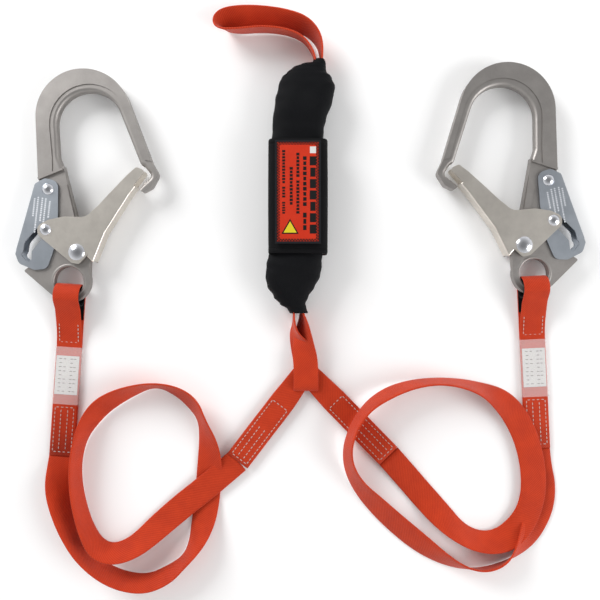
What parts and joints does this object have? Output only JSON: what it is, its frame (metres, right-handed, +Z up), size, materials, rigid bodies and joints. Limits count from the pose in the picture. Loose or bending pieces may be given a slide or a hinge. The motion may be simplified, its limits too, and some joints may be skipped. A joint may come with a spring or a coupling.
{
  "type": "shock absorbing lanyard",
  "caption": "Twin-leg shock absorbing lanyard with two large gated hooks, webbing legs, a pack that tears to slow a fall, and a harness loop.",
  "frame": {"origin": "centre of the footprint of the hooks, straps and pack as the lanyard lies flat, on the surface", "axes": "+Z up from the surface, +X across from the left hook to the right hook, +Y towards the harness loop"},
  "size_m": [0.5622, 0.5784, 0.0394],
  "materials": {
    "forged_steel": "satin",
    "plated_steel": "satin",
    "lever_steel": "satin",
    "rivet_steel": "polished",
    "spring_steel": "satin",
    "webbing": "woven",
    "black_fabric": "woven",
    "cover_fabric": "knitted",
    "label_white": "satin",
    "clear_sleeve": "clear",
    "tear_webbing": "woven",
    "fastener_tape": "hooked",
    "leaf": "satin",
    "label_red": "printed",
    "binding": "woven"
  },
  "bodies": {
    "root": {"left_web_eye": "webbing", "left_wear_pad": "black_fabric", "left_id_label": "label_white", "left_label_sleeve": "clear_sleeve", "left_leg_webbing": "webbing", "right_web_eye": "webbing", "right_wear_pad": "black_fabric", "right_id_label": "label_white", "right_label_sleeve": "clear_sleeve", "right_leg_webbing": "webbing", "harness_loop": "webbing", "absorber_cover": "cover_fabric", "absorber_upper_ply": "tear_webbing", "absorber_lower_ply": "tear_webbing", "label_wrap": "black_fabric", "fastener_hook_strip": "fastener_tape", "instruction_leaf_1": "leaf", "instruction_leaf_2": "leaf", "instruction_leaf_3": "leaf", "absorber_leg_loop": "webbing", "yoke_webbing": "webbing"},
    "label_flap": {"label_flap": "black_fabric", "label_print": "label_red", "label_binding": "binding", "fastener_loop_strip": "fastener_tape"},
    "left_hook": {"left_hook_body": "forged_steel", "left_gate_rivet": "rivet_steel", "left_gate_spring": "spring_steel", "left_lever_rivet": "rivet_steel"},
    "left_gate": {"left_gate": "plated_steel", "left_gate_pin": "rivet_steel"},
    "left_lever": {"left_lever": "lever_steel"},
    "right_hook": {"right_hook_body": "forged_steel", "right_gate_rivet": "rivet_steel", "right_gate_spring": "spring_steel", "right_lever_rivet": "rivet_steel"},
    "right_gate": {"right_gate": "plated_steel", "right_gate_pin": "rivet_steel"},
    "right_lever": {"right_lever": "lever_steel"}
  },
  "joints": [
    {"name": "left_hook_swing", "type": "hinge", "parent": "root", "child": "left_hook", "pos_m": [-0.23022, -0.05614, 0.0125], "axis": [0.9977, -0.068, 0], "range_deg": [0, 100]},
    {"name": "left_gate_hinge", "type": "hinge", "parent": "left_hook", "child": "left_gate", "pos_m": [-0.22016, -0.01342, 0.0125], "axis": [0, 0, 1], "range_deg": [0, 44], "stiffness_Nm_per_rad": 0.3, "springref_deg": -20.05},
    {"name": "left_lever_hinge", "type": "hinge", "parent": "left_hook", "child": "left_lever", "pos_m": [-0.24933, 0.04879, 0.0125], "axis": [0, 0, 1], "range_deg": [0, 12]},
    {"name": "right_hook_swing", "type": "hinge", "parent": "root", "child": "right_hook", "pos_m": [0.232, -0.04825, 0.0125], "axis": [0.9989, 0.0471, 0], "range_deg": [0, 100]},
    {"name": "right_gate_hinge", "type": "hinge", "parent": "right_hook", "child": "right_gate", "pos_m": [0.22019, -0.00625, 0.0125], "axis": [0, 0, -1], "range_deg": [0, 44], "stiffness_Nm_per_rad": 0.3, "springref_deg": -20.05},
    {"name": "right_lever_hinge", "type": "hinge", "parent": "right_hook", "child": "right_lever", "pos_m": [0.24478, 0.0579, 0.0125], "axis": [0, 0, -1], "range_deg": [0, 12]},
    {"name": "label_flap_hinge", "type": "hinge", "parent": "root", "child": "label_flap", "pos_m": [-0.02446, 0.04291, 0.0368], "axis": [0, -1, 0], "range_deg": [0, 160]}
  ],
  "couplings": [
    {"joint": "left_lever_hinge", "follows": "left_gate_hinge", "ratio": 0.27273},
    {"joint": "right_lever_hinge", "follows": "right_gate_hinge", "ratio": 0.27273}
  ]
}
